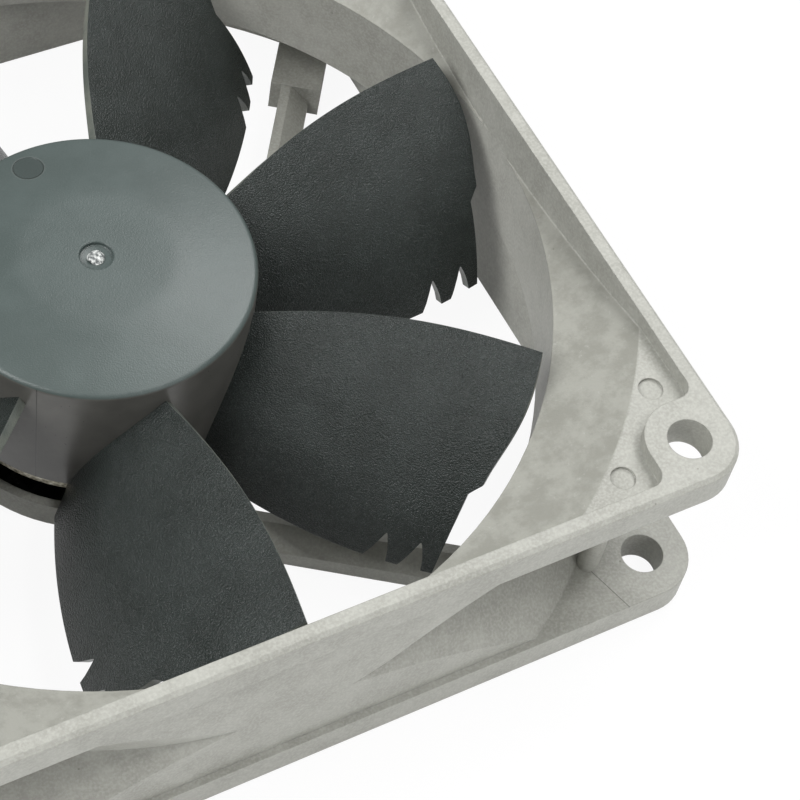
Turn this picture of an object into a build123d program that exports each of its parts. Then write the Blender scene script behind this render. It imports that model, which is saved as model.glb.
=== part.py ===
from build123d import *
import math
import os

os.makedirs("parts", exist_ok=True)

# Case fan, inlet face up. The origin is the centre of the outlet face and +Z is the impeller's axis.
# All sizes are millimetres.

# Frame
frame_side = 92.0
frame_depth = 25.0
corner_radius = 4.8
edge_chamfer = 0.4
hole_spacing = 82.5
hole_radius = 2.15
inlet_flange = 3.8
outlet_flange = 4.0
side_recess = 0.7
rim_width = 1.6
throat_top = 20.0
throat_bottom = 10.2
waist_height = 11.0
waist_wall = 1.25
inlet_flare_width = 7.9
pocket_depth = 1.7
screw_boss_radius = 4.3
pocket_fillet = 1.5
outlet_flare_width = 8.8
outlet_lip = 1.8
duct_wall = 1.4
ejector_mark_radius = 1.2
ejector_mark_depth = 0.3
ejector_mark_angle = 5.7
post_radius = 1.1
post_near = 1.3
post_far = 5.6
duct_bow = ((0.2, 0.33), (0.48, 0.66))

# Struts and motor base
strut_count = 4
strut_direction = 55.3
strut_width = 3.2
strut_low_side = 2.0
strut_height = 3.9
strut_pad_width = 5.6
strut_pad_length = 9.0
base_radius = 16.3
base_height = 3.2
base_wall = 0.9
base_floor = 1.4
tube_boss_wall = 1.4
label_recess = 0.5
label_radius = 14.2
label_thickness = 0.15
label_clearance = 0.25
wire_notch_width = 4.4
wire_notch_height = 2.2

# Impeller
blade_count = 7
tip_radius = 43.3
tip_radius_rear = 40.95
tip_step_height = 15.1
hub_radius = 15.5
hub_skirt_bottom = 6.6
hub_rim_height = 21.9
hub_crown_height = 23.0
hub_flat_radius = 7.4
hub_top_wall = 2.8
hub_edge_round = 0.6
gate_recess_radius = 1.6
gate_recess_depth = 0.5
gate_stub_radius = 0.8
gate_stub_height = 0.3
mould_mark_radius = 1.5
mould_mark_at = 12.8
mould_mark_angle = 97.0
mould_mark_depth = 0.2
blade_edge_thickness = 0.75
blade_mid_thickness = 1.35
root_corner_share = 0.12
root_corner_angle = 3.8
blade_camber_hub = 1.3
blade_camber_tip = 2.9
notch_depth = 2.9
notch_width = 2.2
notch_apex = 0.55
notch_starts = (34.4, 37.7)

# Rotor
cup_radius = 14.75
cup_wall = 0.7
cup_bottom = 4.7
magnet_thickness = 1.45
magnet_bottom = 5.6
magnet_height = 10.4
boss_radius = 3.4
boss_length = 4.0
shaft_radius = 1.5
shaft_bottom = 1.6
clip_groove_height = 2.15
clip_groove_depth = 0.3
clip_thickness = 0.3
clip_radius = 2.4
clip_gap = 0.9
slinger_radius = 3.2
slinger_thickness = 0.3

# Bearing
tube_radius = 4.0
tube_wall = 1.0
tube_top = 15.0
bearing_bottom = 3.0
bearing_clearance = 0.05
seal_thickness = 0.5
seal_clearance = 0.2
pad_thickness = 0.6
cap_thickness = 0.4
end_play = 0.1

# Stator
air_gap = 0.6
core_bottom = 7.3
core_height = 5.0
core_ring_wall = 1.7
arm_width = 3.2
shoe_thickness = 1.3
shoe_angle = 68.0
insulator_thickness = 1.0
insulator_edge = 0.4
coil_thickness = 1.5
coil_clearance = 0.05

# Circuit
board_clearance = 0.2
board_thickness = 1.0
ic_length = 4.9
ic_width = 3.9
ic_height = 1.3
hall_length = 3.0
hall_width = 1.5
hall_height = 1.2
pin_radius = 0.35
pin_clearance = 0.1
fit_clearance = 0.05

half = frame_side / 2
inner_half = half - rim_width
bore_radius = inner_half
throat_outer = bore_radius + waist_wall
hole_at = hole_spacing / 2
inlet_underside = frame_depth - inlet_flange
pocket_floor = frame_depth - pocket_depth
flare_top_radius = bore_radius + inlet_flare_width
outlet_radius = bore_radius + outlet_flare_width
cut_over = 1.0
quarter_turns = [0, 90, 180, 270]
parts = {}


def ring(outer, inner, low, high):
    """A tube between two heights."""
    body = Pos(0, 0, (low + high) / 2) * Cylinder(outer, high - low)
    return body - Pos(0, 0, (low + high) / 2) * Cylinder(inner, high - low + 2 * cut_over)


def disc(radius, low, high):
    """A plain disc between two heights."""
    return Pos(0, 0, (low + high) / 2) * Cylinder(radius, high - low)


def block(x, y, low, high, long, wide):
    """A box centred at x, y between two heights."""
    return Pos(x, y, (low + high) / 2) * Box(long, wide, high - low)


def turned(points):
    """A closed outline of radius and height turned about the fan's axis."""
    outline = Plane.XZ * make_face(Polyline(*points, close=True))
    return revolve(outline, axis=Axis.Z)


def rounded_plate(side, radius, low, high):
    """A square plate with rounded corners."""
    return Pos(0, 0, low) * extrude(RectangleRounded(side, side, radius), high - low)


# Frame shell
def frame_shell():
    """The two flanges and the duct, still without its holes."""
    plate = rounded_plate(frame_side, corner_radius, 0, frame_depth)
    plate = chamfer(plate.edges().filter_by(Plane.XY), edge_chamfer)
    flanges = plate - Pos(0, 0, (outlet_flange + inlet_underside) / 2) * Box(
        2 * frame_side, 2 * frame_side, inlet_underside - outlet_flange)
    lower_radius = outlet_radius - outlet_flange * outlet_flare_width / throat_bottom + 2 * duct_wall
    upper_radius = flare_top_radius - duct_wall
    top = frame_depth - edge_chamfer
    straight = Polyline((throat_outer, waist_height), (lower_radius, outlet_flange), (lower_radius, 0), (0, 0),
                        (0, top), (upper_radius, top), (upper_radius, inlet_underside))
    wide, tall = upper_radius - throat_outer, inlet_underside - waist_height
    bow = [(throat_outer + out * wide, waist_height + up * tall) for out, up in duct_bow]
    curve = Spline((throat_outer, waist_height), *bow, (upper_radius, inlet_underside))
    duct = revolve(Plane.XZ * make_face([straight, curve]), axis=Axis.Z)
    recessed = frame_side - 2 * side_recess
    duct = duct & rounded_plate(recessed, corner_radius, 0, frame_depth)
    shell = flanges + duct
    for turn in quarter_turns:
        for near, far in ((post_near, post_far), (post_far, post_near)):
            place = Rot(0, 0, turn) * Pos(hole_at - near, hole_at - far, 0)
            shell += place * disc(post_radius, outlet_flange / 2, inlet_underside + inlet_flange / 2)
    return shell


def duct_cut():
    """The air path: inlet flare, throat and outlet flare, kept inside the flat side walls."""
    path = turned([(0, -cut_over), (outlet_radius, -cut_over), (outlet_radius, outlet_lip),
                   (bore_radius, throat_bottom), (bore_radius, throat_top),
                   (flare_top_radius, pocket_floor), (flare_top_radius, frame_depth + cut_over),
                   (0, frame_depth + cut_over)])
    corner = hole_at - screw_boss_radius
    keep = Pos(0, 0, -cut_over) * extrude(Rectangle(2 * inner_half, 2 * inner_half), frame_depth + 2 * cut_over)
    path = path & keep
    mouth = Rectangle(2 * inner_half, 2 * inner_half)
    for turn in quarter_turns:
        boss = Pos(hole_at, hole_at) * Circle(screw_boss_radius)
        side_a = Pos((corner + half) / 2, (hole_at + half) / 2) * Rectangle(half - corner, half - hole_at)
        side_b = Pos((hole_at + half) / 2, (corner + half) / 2) * Rectangle(half - hole_at, half - corner)
        mouth -= Rot(0, 0, turn) * (boss + side_a + side_b)
    sharp = [v for v in mouth.vertices() if abs(max(abs(v.X), abs(v.Y)) - inner_half) < 0.01]
    mouth = fillet(sharp, pocket_fillet)
    return path, Pos(0, 0, pocket_floor) * extrude(mouth, pocket_depth + cut_over)


def strut():
    """One strut, tangent to the motor base, with the wide pad at its outer end."""
    low, high = base_radius - strut_width, base_radius
    section = Polyline((0, low, 0), (0, high, 0), (0, high, strut_low_side),
                       (0, low + strut_width / 3, strut_height), (0, low, strut_height), close=True)
    bar = extrude(make_face(section), dir=(1, 0, 0), amount=outlet_radius)
    pad_centre = (low + high) / 2
    pad_start = math.sqrt(outlet_radius ** 2 - pad_centre ** 2) - strut_pad_length
    pad = block(pad_start + strut_pad_length, pad_centre, 0, outlet_flange, 2 * strut_pad_length, strut_pad_width)
    return mirror(bar + pad, about=Plane.XZ)


def build_frame():
    """The moulded frame with its struts and motor base."""
    path, mouth = duct_cut()
    inner_limit = frame_side - rim_width
    struts = None
    for count in range(strut_count):
        one = Rot(0, 0, strut_direction + count * 360 / strut_count) * strut()
        struts = one if struts is None else struts + one
    struts = struts & rounded_plate(inner_limit, corner_radius, 0, frame_depth)
    struts = struts & disc(outlet_radius + duct_wall / 2, 0, frame_depth)
    base = disc(base_radius, 0, base_height)
    body = frame_shell() - path - mouth + struts + base
    body -= ring(base_radius - base_wall, tube_radius + tube_boss_wall, base_floor, frame_depth)
    body -= disc(tube_radius + tube_boss_wall, base_height, frame_depth)
    body -= disc(label_radius + label_clearance, -cut_over, label_recess)
    body -= disc(tube_radius, 0, frame_depth)
    mark_at = flare_top_radius + 1.3 * ejector_mark_radius
    for turn in quarter_turns:
        body -= Rot(0, 0, turn) * Pos(hole_at, hole_at, frame_depth / 2) * Cylinder(hole_radius, 2 * frame_depth)
        for side in (-1, 1):
            spot = Rot(0, 0, turn + 45 + side * ejector_mark_angle) * Pos(mark_at, 0, 0)
            body -= spot * disc(ejector_mark_radius, pocket_floor - ejector_mark_depth, frame_depth)
    notch = block(-half, 0, -cut_over, wire_notch_height, 4 * rim_width, wire_notch_width)
    return body - notch


parts["frame"] = build_frame()


# Impeller
def leading_edge(share):
    """Angle in degrees and height of the leading edge, share 0 at the hub and 1 at the tip."""
    angle = 15.2 + 12.9 * share - 22.7 * share ** 2 + 8.7 * share ** 3
    return angle, 19.0 + 5.4 * share - 1.9 * share ** 2


def trailing_edge(share):
    """Angle in degrees and height of the trailing edge."""
    corner = max(0, 1 - max(0, share) / root_corner_share)
    angle = -21.7 + 12.0 * share + 1.4 * share ** 2 + root_corner_angle * corner
    return angle, 5.8 - 0.6 * share + 1.8 * share ** 2


def blade_point(share, along):
    """Radius, angle and height on the blade's middle surface, along 0 at the leading edge."""
    radius = hub_radius + (tip_radius - hub_radius) * share
    lead_angle, lead_height = leading_edge(share)
    trail_angle, trail_height = trailing_edge(share)
    chord_arc = radius * math.radians(trail_angle - lead_angle)
    chord_rise = trail_height - lead_height
    chord = math.hypot(chord_arc, chord_rise)
    camber = blade_camber_hub + (blade_camber_tip - blade_camber_hub) * share
    bulge = camber * 4 * along * (1 - along)
    arc = radius * math.radians(lead_angle) + along * chord_arc + bulge * chord_rise / chord
    height = lead_height + along * chord_rise - bulge * chord_arc / chord
    return radius, arc / radius, height


blade_middle_angle = math.radians(-2.0)


def blade_section(distance):
    """A closed outline of the blade in the plane at this distance from the axis."""
    steps = 9
    line = []
    for index in range(steps):
        along = index / (steps - 1)
        share = (distance - hub_radius) / (tip_radius - hub_radius)
        for _ in range(12):
            radius, angle, height = blade_point(share, along)
            radius = distance / math.cos(angle - blade_middle_angle)
            share = (radius - hub_radius) / (tip_radius - hub_radius)
        line.append((radius * math.sin(angle - blade_middle_angle), height))
    upper, lower = [], []
    for index, (side, height) in enumerate(line):
        before, after = line[max(index - 1, 0)], line[min(index + 1, steps - 1)]
        run, rise = after[0] - before[0], after[1] - before[1]
        length = math.hypot(run, rise)
        along = index / (steps - 1)
        thick = blade_edge_thickness + (blade_mid_thickness - blade_edge_thickness) * 4 * along * (1 - along)
        push = (rise / length * thick / 2, -run / length * thick / 2)
        upper.append((distance, side + push[0], height + push[1]))
        lower.append((distance, side - push[0], height - push[1]))
    edges = [Spline(*upper), Line(upper[-1], lower[-1]), Spline(*lower[::-1]), Line(lower[0], upper[0])]
    return Face(Wire(edges))


def blade():
    """One blade from just inside the hub's wall to its stepped tip."""
    stations = [hub_radius * 0.85, hub_radius, hub_radius * 1.1, hub_radius * 1.25, 24.0, 30.0, 36.0, 41.0, tip_radius * 1.04]
    solid = loft([blade_section(distance) for distance in stations])
    solid = Rot(0, 0, math.degrees(blade_middle_angle)) * solid
    root = hub_radius - 0.4
    limit = turned([(root, 0), (tip_radius_rear, 0), (tip_radius_rear, tip_step_height - 0.6),
                    (tip_radius_rear + 1.0, tip_step_height + 0.6), (tip_radius, tip_step_height + 5.0),
                    (tip_radius, frame_depth), (root, frame_depth)])
    solid = solid & limit
    for start in notch_starts:
        radius = start + notch_width * notch_apex
        share = (radius - hub_radius) / (tip_radius - hub_radius)
        _, angle, height = blade_point(share, 1.0)
        _, angle_up, height_up = blade_point(share, 0.85)
        rise = Vector(0, radius * (angle_up - angle), height_up - height).normalized()
        facing = Vector(1, 0, 0).cross(rise)
        place = Rot(0, 0, math.degrees(angle)) * Plane(
            origin=(start, 0, height), x_dir=(1, 0, 0), z_dir=tuple(facing))
        saw = Polyline((-0.6, -1.5), (0, 0), (notch_width * notch_apex, notch_depth), (notch_width, 0.0),
                       (notch_width + 0.2, -1.5), close=True)
        tool = extrude(place * make_face(saw), amount=3, both=True)
        solid = solid - tool
    return solid


def build_impeller():
    """The hub cap with its ring of blades."""
    underside = hub_crown_height - hub_top_wall
    profile = [(0, underside), (cup_radius, underside), (cup_radius, hub_skirt_bottom),
               (hub_radius, hub_skirt_bottom), (hub_radius, hub_rim_height - hub_edge_round),
               (hub_radius - 0.3 * hub_edge_round, hub_rim_height - 0.3 * hub_edge_round),
               (hub_radius - hub_edge_round, hub_rim_height), (hub_flat_radius, hub_crown_height),
               (0, hub_crown_height)]
    body = turned(profile)
    body -= disc(gate_recess_radius, hub_crown_height - gate_recess_depth, hub_crown_height + cut_over)
    body += disc(gate_stub_radius, hub_crown_height - 2 * gate_recess_depth,
                 hub_crown_height - gate_recess_depth + gate_stub_height)
    slope = (hub_crown_height - hub_rim_height) / (hub_radius - hub_edge_round - hub_flat_radius)
    mark_height = hub_crown_height - slope * (mould_mark_at - hub_flat_radius) - mould_mark_depth
    mark = Rot(0, 0, mould_mark_angle) * Pos(mould_mark_at, 0, 0)
    body -= mark * disc(mould_mark_radius, mark_height, hub_crown_height)
    one = blade()
    for count in range(blade_count):
        body += Rot(0, 0, count * 360 / blade_count) * one
    return body


parts["impeller"] = build_impeller()

# Rotor
hub_underside = hub_crown_height - hub_top_wall
cup_inner = cup_radius - cup_wall
magnet_inner = cup_inner - magnet_thickness
cup = disc(cup_radius, cup_bottom, hub_underside) - disc(cup_inner, cup_bottom - cut_over, hub_underside - cup_wall)
parts["rotor_cup"] = cup - disc(boss_radius, 0, frame_depth)
parts["ring_magnet"] = ring(cup_inner, magnet_inner, magnet_bottom, magnet_bottom + magnet_height)
parts["shaft_boss"] = ring(boss_radius, shaft_radius, hub_underside - boss_length, hub_underside)
shaft = disc(shaft_radius, shaft_bottom, hub_underside)
groove_radius = shaft_radius - clip_groove_depth
groove_top = clip_groove_height + clip_thickness + 2 * fit_clearance
parts["shaft"] = shaft - ring(2 * shaft_radius, groove_radius, clip_groove_height, groove_top)
clip_low = clip_groove_height + fit_clearance
clip = ring(clip_radius, groove_radius + fit_clearance, clip_low, clip_low + clip_thickness)
clip_mouth = block(clip_radius, 0, 0, groove_top, 2 * clip_radius, clip_gap)
parts["retaining_clip"] = clip - clip_mouth
slinger_low = tube_top + end_play
parts["oil_slinger"] = ring(slinger_radius, shaft_radius, slinger_low, slinger_low + slinger_thickness)

# Bearing
tube_inner = tube_radius - tube_wall
cap_low = label_recess
pad_low = cap_low + cap_thickness
parts["bearing_tube"] = ring(tube_radius, tube_inner, label_recess, tube_top)
parts["end_cap"] = disc(tube_inner, cap_low, pad_low)
parts["thrust_pad"] = disc(tube_inner, pad_low, pad_low + pad_thickness)
bearing_top = tube_top - seal_thickness
parts["sleeve_bearing"] = ring(tube_inner, shaft_radius + bearing_clearance, bearing_bottom, bearing_top)
parts["oil_seal"] = ring(tube_inner, shaft_radius + seal_clearance, bearing_top, tube_top)

# Stator
core_top = core_bottom + core_height
pole_radius = magnet_inner - air_gap
arm_root = tube_radius + core_ring_wall


def pole_plate(low, high, margin):
    """Four arms with curved shoes on a ring, with margin taken off the shoes and put on the arms."""
    wheel = disc(arm_root, low, high)
    outer = pole_radius - margin
    shoes = ring(outer, pole_radius - shoe_thickness - margin / 2, low, high)
    reach = frame_side
    for count in range(4):
        turn = Rot(0, 0, 45 + 90 * count)
        gap = math.radians(90 - shoe_angle) / 2 * outer
        shoes -= turn * block(reach / 2, 0, low - cut_over, high + cut_over, reach, 2 * gap + margin)
    for count in range(4):
        arm = block(outer / 2, 0, low, high, outer - shoe_thickness / 2, arm_width + 2 * margin)
        wheel += Rot(0, 0, 90 * count) * arm
    wheel += shoes
    return wheel - disc(tube_radius, 0, frame_depth)


parts["stator_core"] = pole_plate(core_bottom, core_top, 0)
low_side = core_bottom - insulator_thickness
high_side = core_top + insulator_thickness
parts["lower_insulator"] = pole_plate(low_side, core_bottom, insulator_edge)
parts["upper_insulator"] = pole_plate(core_top, high_side, insulator_edge)
coil_inner = arm_root + coil_clearance
coil_window = arm_width + 2 * insulator_edge + 2 * coil_clearance
coil_limit = pole_radius - shoe_thickness - 1.5 * insulator_edge - 2 * coil_clearance
coil_outer = math.sqrt(coil_limit ** 2 - (coil_window / 2 + coil_thickness) ** 2)
coil_middle = (coil_inner + coil_outer) / 2
for count in range(4):
    body = block(coil_middle, 0, low_side - coil_clearance - 0.5 * coil_thickness,
                 high_side + coil_clearance + 0.5 * coil_thickness,
                 coil_outer - coil_inner, coil_window + 2 * coil_thickness)
    body = fillet(body.edges().filter_by(Axis.X), 0.4 * coil_thickness)
    body -= block(coil_middle, 0, low_side - coil_clearance, high_side + coil_clearance, pole_radius, coil_window)
    parts["coil_" + str(count + 1)] = Rot(0, 0, 90 * count) * body

# Circuit
board_low = base_floor
board_top = board_low + board_thickness
board_radius = base_radius - base_wall - board_clearance
board = ring(board_radius, tube_radius + tube_boss_wall + board_clearance, board_low, board_top)
pin_ring = pole_radius - shoe_thickness / 2
pins = []
for count in range(4):
    turn = Rot(0, 0, 90 * count)
    board -= turn * Pos(pin_ring, 0, 0) * disc(pin_radius + pin_clearance, 0, frame_depth / 2)
    pins.append(turn * Pos(pin_ring, 0, 0) * disc(pin_radius, board_low, low_side))
parts["circuit_board"] = board
parts["terminal_pins"] = Compound(children=pins)
part_ring = (arm_root + pole_radius) / 2
chip = block(part_ring, 0, board_top, board_top + ic_height, ic_width, ic_length)
legs = [block(part_ring + side * (ic_width / 2 + 0.3), (step - 1.5) * 1.27, board_top, board_top + 0.3, 1.2, 0.4)
        for side in (-1, 1) for step in range(4)]
for leg in legs:
    chip += leg
parts["driver_ic"] = Rot(0, 0, 45) * chip
parts["hall_sensor"] = Rot(0, 0, 135) * block(
    pole_radius - 1, 0, board_top, board_top + hall_height, hall_width, hall_length)
chips = []
for place, long, wide, tall in ((215, 2.0, 1.25, 1.2), (235, 1.6, 0.8, 0.5), (305, 1.6, 0.8, 0.5), (325, 2.0, 1.25, 0.6)):
    chips.append(Rot(0, 0, place) * block(part_ring, 0, board_top, board_top + tall, wide, long))
parts["chip_parts"] = Compound(children=chips)
parts["rear_label"] = disc(label_radius, label_recess - label_thickness, label_recess)

for name, shape in parts.items():
    export_step(shape, "parts/" + name + ".step")
    print(name, len(shape.solids()), round(shape.volume, 2))
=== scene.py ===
import bpy
import bmesh
import math
from mathutils import Matrix, Vector


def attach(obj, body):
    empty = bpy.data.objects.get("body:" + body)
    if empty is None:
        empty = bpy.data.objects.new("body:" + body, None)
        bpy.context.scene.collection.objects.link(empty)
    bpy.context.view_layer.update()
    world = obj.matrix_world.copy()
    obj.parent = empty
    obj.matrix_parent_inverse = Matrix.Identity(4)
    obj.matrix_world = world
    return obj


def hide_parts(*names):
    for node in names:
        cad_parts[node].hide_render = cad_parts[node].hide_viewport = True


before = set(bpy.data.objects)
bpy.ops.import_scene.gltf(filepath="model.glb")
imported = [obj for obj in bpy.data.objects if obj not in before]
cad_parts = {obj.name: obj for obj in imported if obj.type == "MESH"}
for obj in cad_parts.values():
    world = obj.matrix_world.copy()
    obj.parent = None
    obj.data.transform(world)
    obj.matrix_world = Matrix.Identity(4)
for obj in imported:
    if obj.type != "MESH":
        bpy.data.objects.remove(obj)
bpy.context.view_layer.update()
print("frame loaded", len(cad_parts), "nodes")

mm = 0.001
scene = bpy.context.scene

# camera: stands over the corner towards -X -Y and looks down into the inlet
cameraSet = {"azimuth": -38.46, "height": 55.22, "roll": 13.03, "distance": 235.1 * mm,
             "target": Vector((23.67, -20.15, 12.5)) * mm, "lens": 108.05, "sensor": 36}


def addCamera(s):
    az, el, roll = (math.radians(s[k]) for k in ("azimuth", "height", "roll"))
    back = Vector((math.sin(az) * math.cos(el), -math.cos(az) * math.cos(el), math.sin(el)))
    side = (-back).cross(Vector((0, 0, 1))).normalized()
    up = side.cross(-back)
    right = math.cos(roll) * side + math.sin(roll) * up
    top = -math.sin(roll) * side + math.cos(roll) * up
    camera = bpy.data.objects.new("camera", bpy.data.cameras.new("camera"))
    turn = Matrix((right, top, back)).transposed().to_4x4()
    camera.matrix_world = Matrix.Translation(s["target"] + back * s["distance"]) @ turn
    camera.data.lens = s["lens"]
    camera.data.sensor_width = s["sensor"]
    camera.data.clip_start = 0.01
    scene.collection.objects.link(camera)
    scene.camera = camera


addCamera(cameraSet)
scene.view_settings.view_transform = "Standard"
print("camera ready")


# shader sockets that can be added, scaled and mixed in plain expressions
class Sock:
    def __init__(self, tree, out):
        self.tree, self.out = tree, out

    def math(self, operation, other=None):
        values = {0: self} if other is None else {0: self, 1: other}
        return self.tree.node("ShaderNodeMath", {"operation": operation}, values)

    def __add__(self, other):
        return self.math("ADD", other)

    def __mul__(self, other):
        return self.math("MULTIPLY", other)

    __radd__ = __add__
    __rmul__ = __mul__

    def __sub__(self, other):
        return self.math("SUBTRACT", other)

    def __rsub__(self, other):
        return self.tree.node("ShaderNodeMath", {"operation": "SUBTRACT"}, {0: other, 1: self})

    def step(self, low, high):
        ranges = {"From Min": low, "From Max": high, "To Min": 0, "To Max": 1}
        return self.tree.node("ShaderNodeMapRange", {"interpolation_type": "SMOOTHSTEP", "clamp": True},
                              {"Value": self, **ranges})


class Tree:
    def __init__(self, name):
        self.material = bpy.data.materials.new(name)
        self.material.use_nodes = True
        self.nodes = self.material.node_tree.nodes
        self.links = self.material.node_tree.links
        self.nodes.clear()
        self.outNode = self.nodes.new("ShaderNodeOutputMaterial")

    def node(self, kind, settings, values, out=0):
        made = self.nodes.new(kind)
        for key, value in settings.items():
            setattr(made, key, value)
        for key, value in values.items():
            if isinstance(value, Sock):
                self.links.new(value.out, made.inputs[key])
            else:
                made.inputs[key].default_value = value
        return Sock(self, made.outputs[out])

    def ramp(self, factor, stops):
        made = self.nodes.new("ShaderNodeValToRGB")
        self.links.new(factor.out, made.inputs[0])
        elements = made.color_ramp.elements
        for index, (place, colour) in enumerate(stops):
            element = elements[index] if index < 2 else elements.new(place)
            element.position = place
            element.color = (*colour, 1)
        return Sock(self, made.outputs[0])

    def mix(self, factor, first, second):
        first, second = ((*c, 1) if isinstance(c, tuple) else c for c in (first, second))
        return self.node("ShaderNodeMix", {"data_type": "RGBA"}, {0: factor, 6: first, 7: second}, 2)

    def place(self):
        return self.node("ShaderNodeTexCoord", {}, {}, "Object")

    def noise(self, where, size, detail=3.0, rough=0.55):
        values = {"Vector": where, "Scale": 1 / size, "Detail": detail, "Roughness": rough}
        return self.node("ShaderNodeTexNoise", {}, values)

    def cells(self, where, size, feature="F1"):
        return self.node("ShaderNodeTexVoronoi", {"feature": feature}, {"Vector": where, "Scale": 1 / size})

    def parts(self, where):
        split = self.nodes.new("ShaderNodeSeparateXYZ")
        self.links.new(where.out, split.inputs[0])
        return [Sock(self, split.outputs[k]) for k in range(3)]

    def bump(self, height, depth, strength, normal=None):
        values = {"Height": height, "Distance": depth, "Strength": strength}
        if normal is not None:
            values["Normal"] = normal
        return self.node("ShaderNodeBump", {}, values)

    def softEdges(self, radius):
        return self.node("ShaderNodeBevel", {"samples": 6}, {"Radius": radius})

    def surface(self, **values):
        names = {"colour": "Base Color", "rough": "Roughness", "metal": "Metallic", "normal": "Normal",
                 "specular": "Specular IOR Level", "coat": "Coat Weight"}
        fixed = {names[key]: value for key, value in values.items()}
        shader = self.node("ShaderNodeBsdfPrincipled", {}, fixed)
        self.links.new(shader.out, self.outNode.inputs["Surface"])
        return self.material


# the pale table and the soft light
stageSet = {"size": 3.0, "floorColour": (0.90, 0.90, 0.90), "cameraWhite": 0.93, "world": 0.42,
            "drop": 0.0002}


def stageMaterial(name):
    t = Tree(name)
    rays = t.nodes.new("ShaderNodeLightPath")
    kinds = ("Is Camera Ray", "Is Glossy Ray", "Is Transmission Ray")
    camera, glossy, through = (Sock(t, rays.outputs[kind]) for kind in kinds)
    seen = (camera + glossy + through).math("MINIMUM", 1.0)
    pale = t.node("ShaderNodeBsdfDiffuse", {}, {"Color": (*stageSet["floorColour"], 1)})
    white = t.node("ShaderNodeEmission", {}, {"Color": (1, 1, 1, 1), "Strength": 1.0})
    both = t.node("ShaderNodeMixShader", {}, {0: seen * stageSet["cameraWhite"], 1: pale, 2: white})
    t.links.new(both.out, t.outNode.inputs["Surface"])
    return t.material


def addStage(s):
    bm = bmesh.new()
    bmesh.ops.create_grid(bm, x_segments=1, y_segments=1, size=s["size"])
    bmesh.ops.translate(bm, verts=bm.verts, vec=(0, 0, -s["drop"]))
    mesh = bpy.data.meshes.new("table")
    bm.to_mesh(mesh)
    bm.free()
    table = bpy.data.objects.new("table", mesh)
    mesh.materials.append(stageMaterial("tableWhite"))
    scene.collection.objects.link(table)
    world = bpy.data.worlds.new("studio")
    scene.world = world
    world.use_nodes = True
    nodes, links = world.node_tree.nodes, world.node_tree.links
    nodes.clear()
    out = nodes.new("ShaderNodeOutputWorld")
    rays = nodes.new("ShaderNodeLightPath")
    dim, bright = nodes.new("ShaderNodeBackground"), nodes.new("ShaderNodeBackground")
    dim.inputs["Strength"].default_value = s["world"]
    mix = nodes.new("ShaderNodeMixShader")
    links.new(rays.outputs["Is Camera Ray"], mix.inputs[0])
    links.new(dim.outputs[0], mix.inputs[1])
    links.new(bright.outputs[0], mix.inputs[2])
    links.new(mix.outputs[0], out.inputs[0])


# lamps: where each stands, its size and its power in watts
lampSet = {
    "keyRight": {"at": (0.40, 0.22, 0.62), "size": 0.38, "power": 3.3},
    "fillLeft": {"at": (-0.42, 0.04, 0.46), "size": 0.40, "power": 3.4},
    "fillFront": {"at": (0.22, -0.72, 0.20), "size": 0.40, "power": 1.4},
    "glintHigh": {"at": (0.22, -0.22, 0.68), "size": 0.16, "power": 1.3}}


def addLamps(lamps):
    for name, s in lamps.items():
        data = bpy.data.lights.new(name, "AREA")
        data.energy = s["power"]
        data.size = s["size"]
        lamp = bpy.data.objects.new(name, data)
        lamp.location = s["at"]
        lamp.rotation_euler = (-Vector(s["at"])).to_track_quat("-Z", "Y").to_euler()
        scene.collection.objects.link(lamp)


addStage(stageSet)
addLamps(lampSet)
print("stage and lamps ready")


# frame finish: clouded grey with fine grain, an inlet flare painted darker as shade with swirls and
# scratches of wear, and the mould line on the flange
plasticSet = {"dark": (0.280, 0.280, 0.250), "light": (0.350, 0.351, 0.318), "grain": (0.48, 0.48, 0.44),
              "speck": (0.14, 0.135, 0.115), "broadSize": 9 * mm, "cloudSize": 2.2 * mm,
              "grainSize": 0.28 * mm, "speckSize": 1.9 * mm, "edge": 0.16 * mm, "depth": 0.05 * mm}
# flare colours: darker than the frame's as painted shade where the flare faces away from the light, with
# swirl and light scratch colours
flareSet = {"radius": 52.1 * mm, "wall": 44.2 * mm, "soft": 0.15 * mm, "low": 19.6 * mm, "high": 20.2 * mm,
            "dark": (0.235, 0.235, 0.207), "light": (0.300, 0.301, 0.269), "scratch": (0.42, 0.42, 0.39)}
flangeMark = {"start": 40.8 * mm, "across": 35.4 * mm, "slope": 0.3, "half": 0.06 * mm,
              "low": 3.9 * mm, "high": 4.1 * mm, "colour": (0.08, 0.08, 0.07)}


def outside(x, y):
    across, along = x.math("ABSOLUTE"), y.math("ABSOLUTE")
    return across.math("MAXIMUM", along), across.math("MINIMUM", along)


# the flare gets painted shade, a darker tone than the frame, over its swirls and scratches
def flarePaintedShadeAndWear(t, where, s):
    x, y, z = t.parts(where)
    radius = (x * x + y * y).math("SQRT")
    inside = 1 - radius.step(s["radius"], s["radius"] + s["soft"])
    inside = inside * z.step(s["low"], s["high"])
    inside = inside * (1 - outside(x, y)[0].step(s["wall"], s["wall"] + s["soft"]))
    swirl = t.noise(where, 3.4 * mm, 6, 0.7).step(0.38, 0.62)
    scratch = t.noise(where, 0.8 * mm, 5, 0.75).step(0.60, 0.70)
    return inside, t.mix(scratch * 0.35, t.mix(swirl, s["dark"], s["light"]), s["scratch"])


def mouldLine(t, where, s):
    x, y, z = t.parts(where)
    far, near = outside(x, y)
    offset = (near - s["across"] - (far - s["start"]) * s["slope"]).math("ABSOLUTE")
    line = (1 - offset.step(0.3 * s["half"], s["half"])) * far.math("GREATER_THAN", s["start"])
    return line * z.math("GREATER_THAN", s["low"]) * z.math("LESS_THAN", s["high"])


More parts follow.
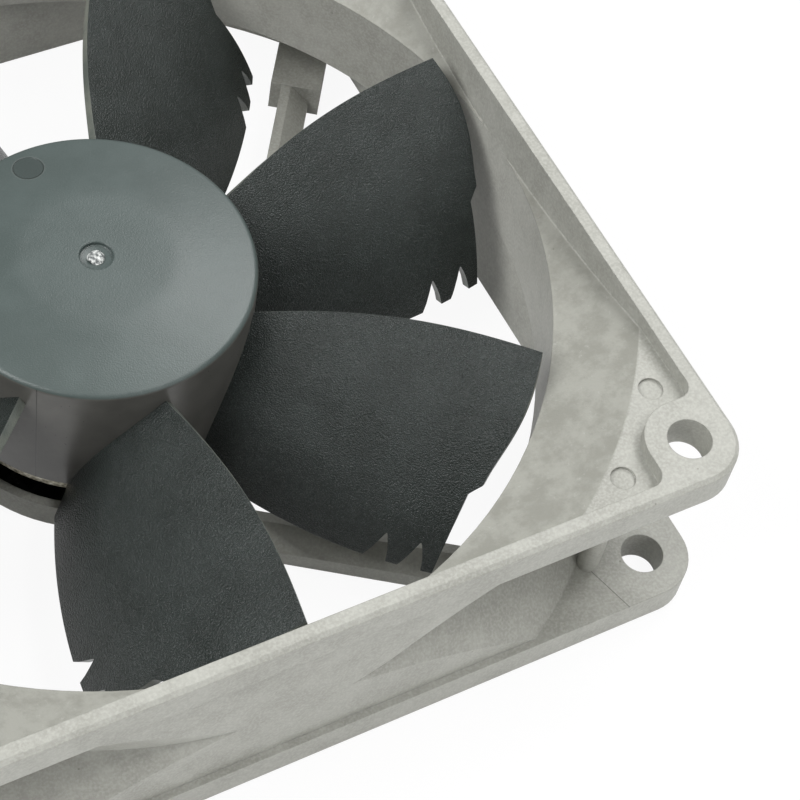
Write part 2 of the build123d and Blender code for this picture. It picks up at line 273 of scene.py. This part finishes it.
def framePlastic(s):
    t = Tree("framePlastic")
    where = t.place()
    broad = t.noise(where, s["broadSize"], 4)
    cloud = t.noise(where, s["cloudSize"], 5, 0.65)
    grain = t.noise(where, s["grainSize"], 2)
    speck = 1 - t.cells(where, s["speckSize"]).step(0.03, 0.07)
    tone = (broad * 0.5 + cloud * 0.5).step(0.36, 0.64)
    colour = t.mix(tone, s["dark"], s["light"])
    colour = t.mix(grain.step(0.35, 0.75) * 0.4, colour, s["grain"])
    # the flare takes its painted shade and its wear colour
    flare, flareShadeAndWearColour = flarePaintedShadeAndWear(t, where, flareSet)
    colour = t.mix(flare, colour, flareShadeAndWearColour)
    speckled = t.noise(where, 6 * mm).step(0.5, 0.6)
    colour = t.mix(speck * speckled * 0.6, colour, s["speck"])
    line = mouldLine(t, where, flangeMark)
    colour = t.mix(line * 0.75, colour, flangeMark["colour"])
    bump = t.bump(grain + cloud * 0.8 - line, s["depth"], 0.6, t.softEdges(s["edge"]))
    return t.surface(colour=colour, rough=cloud * 0.16 + 0.44 - flare * 0.06, normal=bump, specular=0.45)


# impeller finishes: grainy blades with small glints painted in as light specks, rims painted lighter as a
# highlight, a smoother hub top painted lighter as sheen and a glossy skirt painted lighter as a reflection
def impellerPlastic(name, grainSize, grainDepth, glossy, dark, light):
    t = Tree(name)
    where = t.place()
    grain = t.noise(where, grainSize, 1, 0.5)
    cloud = t.noise(where, 5 * mm, 3)
    dots = t.cells(where, grainSize * 1.5)
    glint = 1 - dots.step(0.10, 0.28)
    colour = t.mix(cloud.step(0.3, 0.7), dark, light)
    colour = t.mix(grain.step(0.52, 0.70) * 0.4, colour, (0.075, 0.088, 0.086))
    # light specks painted into the colour as glints, gathered in patches
    colour = t.mix(glint * cloud.step(0.35, 0.65) * 0.45, colour, (0.17, 0.19, 0.185))
    bump = t.bump(grain * 0.5 - dots * 0.5, grainDepth, 0.9, t.softEdges(0.15 * mm))
    return t.surface(colour=colour, rough=cloud * 0.08 + glossy, normal=bump, specular=0.36)


# where the mould's halves met on the skirt, in degrees, and the round mark on the hub's top
mouldSet = {"lineAngle": -134.0, "lineHalf": 0.07 * mm, "markRadius": 1.5 * mm, "markAt": 12.8 * mm,
            "markAngle": 97.0, "markDepth": 0.2 * mm}


def hubTop(s):
    t = Tree("hubTopPaintedSheen")
    where = t.place()
    grain = t.noise(where, 0.15 * mm, 2, 0.6)
    cloud = t.noise(where, 5 * mm, 3)
    x, y = t.parts(where)[:2]
    angle = math.radians(s["markAngle"])
    across = x - s["markAt"] * math.cos(angle)
    along = y - s["markAt"] * math.sin(angle)
    radius = (across * across + along * along).math("SQRT")
    rim = s["markRadius"] + 0.05 * mm
    mark = radius.step(s["markRadius"] - 0.1 * mm, rim)
    brim = mark * (1 - radius.step(rim, s["markRadius"] + 0.2 * mm))
    # the hub top is the blades' plastic painted several times lighter as the sheen of the light on it
    colour = t.mix(cloud.step(0.3, 0.7), (0.056, 0.074, 0.070), (0.066, 0.086, 0.082))
    colour = t.mix(grain.step(0.56, 0.72) * 0.35, colour, (0.075, 0.088, 0.086))
    # a lighter ring round the round mark's edge, and the mark's floor painted darker as the shade in its
    # recess
    colour = t.mix(brim * 0.5, colour, (0.10, 0.115, 0.11))
    colour = t.mix((1 - mark) * 0.5, colour, (0.020, 0.028, 0.026))
    bump = t.bump(grain, 0.03 * mm, 0.8, t.softEdges(0.15 * mm))
    bump = t.bump(mark, s["markDepth"], 1.0, bump)
    return t.surface(colour=colour, rough=cloud * 0.05 + 0.35, normal=bump, specular=0.5)


def hubSkirt(s):
    t = Tree("skirtPaintedReflection")
    where = t.place()
    cloud = t.noise(where, 3 * mm, 4)
    fine = t.noise(where, 0.4 * mm, 3)
    x, y = t.parts(where)[:2]
    # the skirt is painted lighter than the blades' plastic as the reflection of the pale surroundings
    colour = t.mix(cloud.step(0.3, 0.7), (0.078, 0.077, 0.070), (0.098, 0.096, 0.088))
    angle = math.radians(s["lineAngle"])
    offset = (x * math.sin(angle) - y * math.cos(angle)).math("ABSOLUTE")
    seam = 1 - offset.step(0.3 * s["lineHalf"], s["lineHalf"])
    seam = seam * (x * math.cos(angle) + y * math.sin(angle)).math("GREATER_THAN", 0.0)
    colour = t.mix(seam * 0.75, colour, (0.015, 0.016, 0.015))
    bump = t.bump(fine - seam * 2, 0.01 * mm, 0.6)
    return t.surface(colour=colour, rough=fine * 0.12 + 0.24, normal=bump)


def gatePlastic():
    t = Tree("gateStub")
    where = t.place()
    torn = t.noise(where, 0.35 * mm, 3)
    colour = t.mix(torn.step(0.4, 0.65), (0.12, 0.13, 0.13), (0.62, 0.64, 0.62))
    return t.surface(colour=colour, rough=0.35, normal=t.bump(torn, 0.2 * mm, 1.0), specular=0.6)


def yokeSteel():
    t = Tree("yokeSteel")
    where = t.place()
    flakes = t.cells(where, 0.45 * mm)
    tint = t.noise(where, 0.8 * mm, 3)
    stops = [(0.25, (0.10, 0.09, 0.07)), (0.6, (0.48, 0.45, 0.36)), (0.9, (0.85, 0.83, 0.75))]
    colour = t.ramp(flakes * 0.6 + tint * 0.5, stops)
    bump = t.bump(flakes, 0.05 * mm, 0.7)
    return t.surface(colour=colour, rough=tint * 0.3 + 0.25, metal=0.85, normal=bump)


def simpleFinish(name, dark, light, size, rough, metal=0.0, depth=0.02 * mm):
    t = Tree(name)
    where = t.place()
    cloud = t.noise(where, size, 4)
    fine = t.noise(where, size / 6, 2)
    colour = t.mix(cloud.step(0.3, 0.7), dark, light)
    return t.surface(colour=colour, rough=fine * 0.12 + rough, metal=metal, normal=t.bump(fine, depth, 0.6))


def copperWinding():
    t = Tree("copperWinding")
    where = t.place()
    turns = t.parts(where)[2].math("MULTIPLY", 2 * math.pi / (0.28 * mm)).math("SINE")
    tint = t.noise(where, 0.7 * mm, 3)
    colour = t.mix(turns.step(-0.9, 0.4), (0.16, 0.05, 0.02), (0.62, 0.26, 0.10))
    bump = t.bump(turns, 0.06 * mm, 0.8)
    return t.surface(colour=colour, rough=tint * 0.2 + 0.22, metal=0.8, normal=bump)


def boardPaintedShade():
    t = Tree("boardPaintedShade")
    where = t.place()
    tracks = t.cells(where, 2.4 * mm, "DISTANCE_TO_EDGE").step(0.03, 0.08)
    cloud = t.noise(where, 3 * mm, 3)
    # the board is painted near black as the shade in the gap under the rotor cup, with a faint track
    # pattern
    colour = t.mix(tracks, (0.016, 0.017, 0.016), (0.006, 0.007, 0.006))
    bump = t.bump(tracks, -0.03 * mm, 0.6)
    return t.surface(colour=colour, rough=cloud * 0.2 + 0.2, normal=bump, coat=0.4)


# the label is blank apart from a thin printed ring between these two radii
labelRing = {"inner": 12.7 * mm, "outer": 12.95 * mm, "soft": 0.05 * mm}


def bareLabel(s):
    t = Tree("bareLabel")
    where = t.place()
    x, y = t.parts(where)[:2]
    radius = (x * x + y * y).math("SQRT")
    border = radius.step(s["inner"], s["inner"] + s["soft"])
    border = border - radius.step(s["outer"], s["outer"] + s["soft"])
    cloud = t.noise(where, 4 * mm, 3)
    colour = t.mix(cloud.step(0.3, 0.7), (0.70, 0.70, 0.67), (0.76, 0.76, 0.73))
    colour = t.mix(border, colour, (0.25, 0.27, 0.27))
    bump = t.bump(cloud, 0.05 * mm, 0.4)
    return t.surface(colour=colour, rough=cloud * 0.15 + 0.3, metal=0.25, normal=bump)


greyPlastic = framePlastic(plasticSet)
bladePlastic = impellerPlastic(
    "bladePlastic", 0.11 * mm, 0.16 * mm, 0.27, (0.009, 0.013, 0.011), (0.014, 0.019, 0.017))
hubTopPaintedSheen = hubTop(mouldSet)
# the blade rims take a much lighter copy of the blade plastic: a painted highlight where light catches the
# edges
bladeEdgePaintedHighlight = impellerPlastic(
    "bladeEdgePaintedHighlight", 0.15 * mm, 0.05 * mm, 0.30, (0.10, 0.115, 0.105), (0.20, 0.21, 0.18))
skirtPaintedReflection = hubSkirt(mouldSet)

# plain finishes of the inner pieces: name, dark and light colour, cloud size, roughness, metal and bump
plainSet = {
    ("ring_magnet",): ("magnetFerrite", (0.012, 0.012, 0.012), (0.03, 0.03, 0.03), 1.2 * mm, 0.6),
    ("shaft",): ("shaftSteel", (0.60, 0.60, 0.60), (0.72, 0.72, 0.72), 1 * mm, 0.15, 1.0, 0.003 * mm),
    ("sleeve_bearing",): ("sinteredBronze", (0.28, 0.19, 0.09), (0.45, 0.32, 0.16), 0.5 * mm, 0.5, 0.8),
    ("stator_core",): ("coreSteel", (0.28, 0.28, 0.30), (0.40, 0.40, 0.42), 1 * mm, 0.35, 0.9),
    ("terminal_pins",): ("tinnedWire", (0.55, 0.55, 0.53), (0.70, 0.70, 0.68), 0.5 * mm, 0.25, 1.0),
    ("shaft_boss", "bearing_tube"): (
        "turnedBrass", (0.55, 0.40, 0.16), (0.70, 0.53, 0.24), 1 * mm, 0.25, 1.0, 0.01 * mm),
    ("retaining_clip", "oil_slinger", "thrust_pad", "lower_insulator", "upper_insulator"): (
        "naturalNylon", (0.62, 0.61, 0.55), (0.72, 0.71, 0.66), 1.5 * mm, 0.4),
    ("end_cap", "oil_seal"): ("blackRubber", (0.015, 0.015, 0.015), (0.03, 0.03, 0.03), 1 * mm, 0.65),
    ("driver_ic", "hall_sensor", "chip_parts"): (
        "chipEpoxy", (0.012, 0.012, 0.013), (0.025, 0.025, 0.027), 0.6 * mm, 0.5)}
nodeFinish = {"rotor_cup": yokeSteel(), "circuit_board": boardPaintedShade(), "rear_label": bareLabel(labelRing)}
nodeFinish.update(dict.fromkeys(("coil_1", "coil_2", "coil_3", "coil_4"), copperWinding()))
for names, values in plainSet.items():
    nodeFinish.update(dict.fromkeys(names, simpleFinish(*values)))
for name, finish in nodeFinish.items():
    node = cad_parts[name]
    node.data.materials.clear()
    node.data.materials.append(finish)
print("finishes ready")


# mesh helpers
mergeWithin = 0.002 * mm


def toObject(bm, name, body, materials, smoothBelow, stands):
    bmesh.ops.remove_doubles(bm, verts=bm.verts, dist=mergeWithin)
    bmesh.ops.recalc_face_normals(bm, faces=bm.faces)
    for face in bm.faces:
        face.smooth = True
    for edge in bm.edges:
        if len(edge.link_faces) == 2 and edge.calc_face_angle(0) > math.radians(smoothBelow):
            edge.smooth = False
    mesh = bpy.data.meshes.new(name)
    bm.to_mesh(mesh)
    bm.free()
    for material in materials:
        mesh.materials.append(material)
    made = bpy.data.objects.new(name, mesh)
    scene.collection.objects.link(made)
    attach(made, body)
    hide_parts(*stands)
    return made


def spinProfile(bm, points, steps):
    verts = [bm.verts.new((r * mm, 0, z * mm)) for r, z in points]
    edges = [bm.edges.new(pair) for pair in zip(verts, verts[1:])]
    bmesh.ops.spin(bm, geom=verts + edges, cent=(0, 0, 0), axis=(0, 0, 1), angle=2 * math.pi,
                   steps=steps, use_merge=True, use_duplicate=False)


def arc(centreR, centreZ, radius, start, end, steps):
    turn = [math.radians(start + (end - start) * k / steps) for k in range(steps + 1)]
    return [(centreR + radius * math.cos(a), centreZ + radius * math.sin(a)) for a in turn]


# impeller hub: a cap with a coned top, an edge round and the gate recess in its middle
hubSet = {"radius": 15.5, "wall": 0.75, "skirtBottom": 6.6, "rimHeight": 21.9, "crown": 23.0, "flat": 7.4,
          "flatSoft": 0.6, "topWall": 2.8, "edgeRound": 0.6, "recess": 1.6, "recessDepth": 0.5, "lip": 0.1,
          "lowerLip": 0.12, "floorLip": 0.08, "crownDrop": 0.06, "skirtBand": 0.3, "steps": 224}


def makeHub(s):
    bm = bmesh.new()
    r, top, e, crown = s["radius"], s["rimHeight"], s["edgeRound"], s["crown"]
    recess, lip, low, flat, soft = s["recess"], s["lip"], s["lowerLip"], s["flat"], s["flatSoft"]
    floor = crown - s["recessDepth"]
    shell = [(0.0, floor), (recess - low, floor), (recess, floor + s["floorLip"]), (recess, crown - lip),
             (recess + lip, crown), (flat - soft, crown), (flat + soft, crown - s["crownDrop"])]
    for share in (0.25, 0.5, 0.75):
        shell.append((flat + (r - e - flat) * share, crown - (crown - top) * share))
    shell += arc(r - e, top - e, e, 84, 0, 7)
    inner, bottom, ceiling = r - s["wall"], s["skirtBottom"], crown - s["topWall"]
    shell += [(r, bottom + low), (r - low, bottom), (inner + lip, bottom), (inner, bottom + lip),
              (inner, ceiling), (0.0, ceiling)]
    spinProfile(bm, shell, s["steps"])
    bmesh.ops.remove_doubles(bm, verts=bm.verts, dist=mergeWithin)
    for face in bm.faces:
        centre = face.calc_center_median()
        if abs(face.normal.z) < 0.5 and math.hypot(centre.x, centre.y) > (r - s["skirtBand"]) * mm:
            face.material_index = 1
    return toObject(bm, "impeller_hub", "rotor", [hubTopPaintedSheen, skirtPaintedReflection], 40, ("impeller",))


# the torn stub of the moulding gate, a flattened ball with a wavy skin
gateSet = {"radius": 0.85, "flatten": 0.42, "waves": (0.06, 0.072), "waveRates": (5200, 6100),
           "widen": 0.12, "widenRate": 3000, "lift": 0.05}


def makeGateStub(s):
    bm = bmesh.new()
    bmesh.ops.create_icosphere(bm, subdivisions=3, radius=s["radius"] * mm)
    for vert in bm.verts:
        wave = s["waves"][0] * math.sin(vert.co.x * s["waveRates"][0])
        wave += s["waves"][1] * math.cos(vert.co.y * s["waveRates"][1] + 1.0)
        vert.co.z = vert.co.z * s["flatten"] + wave * mm
        vert.co.x *= 1.0 + s["widen"] * math.sin(vert.co.y * s["widenRate"])
    height = hubSet["crown"] - hubSet["recessDepth"] + s["lift"]
    bmesh.ops.translate(bm, verts=bm.verts, vec=(0, 0, height * mm))
    return toObject(bm, "gate_stub", "rotor", [gatePlastic()], 180, ("impeller",))


hub = makeHub(hubSet)
gate = makeGateStub(gateSet)

# blades: the middle surface of one blade, from its leading to its trailing edge
bladeSet = {"count": 7, "tip": 43.3, "tipRear": 40.95, "root": 15.2, "camberHub": 1.3, "camberTip": 2.9,
            "thick": 1.1, "edgeSoft": 0.16, "spans": 34, "chords": 40,
            "leadAngle": (15.2, 12.9, -22.7, 8.7), "leadHeight": (19.0, 5.4, -1.9),
            "trailAngle": (-21.7, 12.0, 1.4), "trailHeight": (5.8, -0.6, 1.8),
            "cornerShare": 0.12, "cornerAngle": 3.8}

# the tip's step: it goes out by its width between two heights, then leans out up to the full radius
stepSet = {"width": 1.0, "low": 14.5, "high": 15.6, "leanLow": 15.3, "leanHigh": 21.6}

# two saw notches in the trailing edge, with the places along each where the mesh has a row
notchSet = {"starts": (34.4, 37.7), "width": 2.2, "apex": 0.55, "depth": 2.9, "blunt": 1.06,
            "riseBend": 1.25, "fallBend": 0.7, "rows": (0, 0.18, 0.36, 0.5, 0.55, 0.62, 0.75, 0.88, 1)}


def power(terms, share):
    return sum(term * share ** k for k, term in enumerate(terms))


def bladePoint(s, radius, along):
    share = (radius - hubSet["radius"]) / (s["tip"] - hubSet["radius"])
    leadAngle, leadHeight = power(s["leadAngle"], share), power(s["leadHeight"], share)
    corner = max(0, 1 - max(0, share) / s["cornerShare"])
    trailAngle = power(s["trailAngle"], share) + s["cornerAngle"] * corner
    trailHeight = power(s["trailHeight"], share)
    chordArc = radius * math.radians(trailAngle - leadAngle)
    chordRise = trailHeight - leadHeight
    chord = math.hypot(chordArc, chordRise)
    camber = s["camberHub"] + (s["camberTip"] - s["camberHub"]) * share
    bulge = camber * 4 * along * (1 - along)
    arcLength = radius * math.radians(leadAngle) + along * chordArc + bulge * chordRise / chord
    height = leadHeight + along * chordRise - bulge * chordArc / chord
    angle = arcLength / radius
    return Vector((radius * math.cos(angle), radius * math.sin(angle), height)), chord


def ease(low, high, value):
    share = min(max((value - low) / (high - low), 0), 1)
    return share * share * (3 - 2 * share)


def tipRadius(s, height):
    step = stepSet
    lean = s["tip"] - s["tipRear"] - step["width"]
    out = step["width"] * ease(step["low"], step["high"], height)
    return s["tipRear"] + out + lean * ease(step["leanLow"], step["leanHigh"], height)


def notchCut(s, radius):
    for start in s["starts"]:
        place = (radius - start) / s["width"]
        if 0 < place < s["apex"]:
            return s["depth"] * min(place / s["apex"] * s["blunt"], 1) ** s["riseBend"]
        if s["apex"] <= place < 1:
            return s["depth"] * min((1 - place) / (1 - s["apex"]) * s["blunt"], 1) ** s["fallBend"]
    return 0.0


def makeBlades(s):
    length = s["tipRear"] - s["root"]
    places = {s["root"] + length * k / s["spans"] for k in range(s["spans"])} | {s["tipRear"]}
    for start in notchSet["starts"]:
        places |= {start + share * notchSet["width"] for share in notchSet["rows"]}
    bm = bmesh.new()
    rows = []
    for radius in sorted(places):
        row = []
        for k in range(s["chords"] + 1):
            along = k / s["chords"]
            point, chord = bladePoint(s, radius, along)
            along *= 1 - notchCut(notchSet, radius) / chord * along ** 3
            point, chord = bladePoint(s, radius, along)
            for _ in range(3):
                reach = tipRadius(s, point.z)
                stretch = ((radius - s["root"]) / length) ** 4
                point, chord = bladePoint(s, radius + (reach - s["tipRear"]) * stretch, along)
            row.append(bm.verts.new(point * mm))
        rows.append(row)
    for first, second in zip(rows, rows[1:]):
        for k in range(s["chords"]):
            bm.faces.new((first[k], second[k], second[k + 1], first[k + 1]))
    one = bm.verts[:] + bm.edges[:] + bm.faces[:]
    for turn in range(1, s["count"]):
        copy = bmesh.ops.duplicate(bm, geom=one)["geom"]
        verts = [v for v in copy if isinstance(v, bmesh.types.BMVert)]
        angle = turn * 2 * math.pi / s["count"]
        bmesh.ops.rotate(bm, verts=verts, cent=(0, 0, 0), matrix=Matrix.Rotation(angle, 3, "Z"))
    blades = toObject(bm, "impeller_blades", "rotor", [bladePlastic, bladeEdgePaintedHighlight], 60, ("impeller",))
    thick = blades.modifiers.new("thick", "SOLIDIFY")
    thick.thickness = s["thick"] * mm
    thick.offset = 0
    thick.material_offset_rim = 1
    thick.use_even_offset = False
    soft = blades.modifiers.new("soft", "BEVEL")
    soft.width = s["edgeSoft"] * mm
    soft.segments = 2
    soft.limit_method = "ANGLE"
    soft.angle_limit = math.radians(50)
    soft.harden_normals = True
    return blades


blades = makeBlades(bladeSet)
print("impeller ready")


# frame: the moulded shape's own faces, merged so that the round stretches shade smoothly
def makeFrame():
    bm = bmesh.new()
    bm.from_mesh(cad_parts["frame"].data)
    return toObject(bm, "frame_shell", "housing", [greyPlastic], 14, ("frame",))


frameShell = makeFrame()
print("frame shell ready")
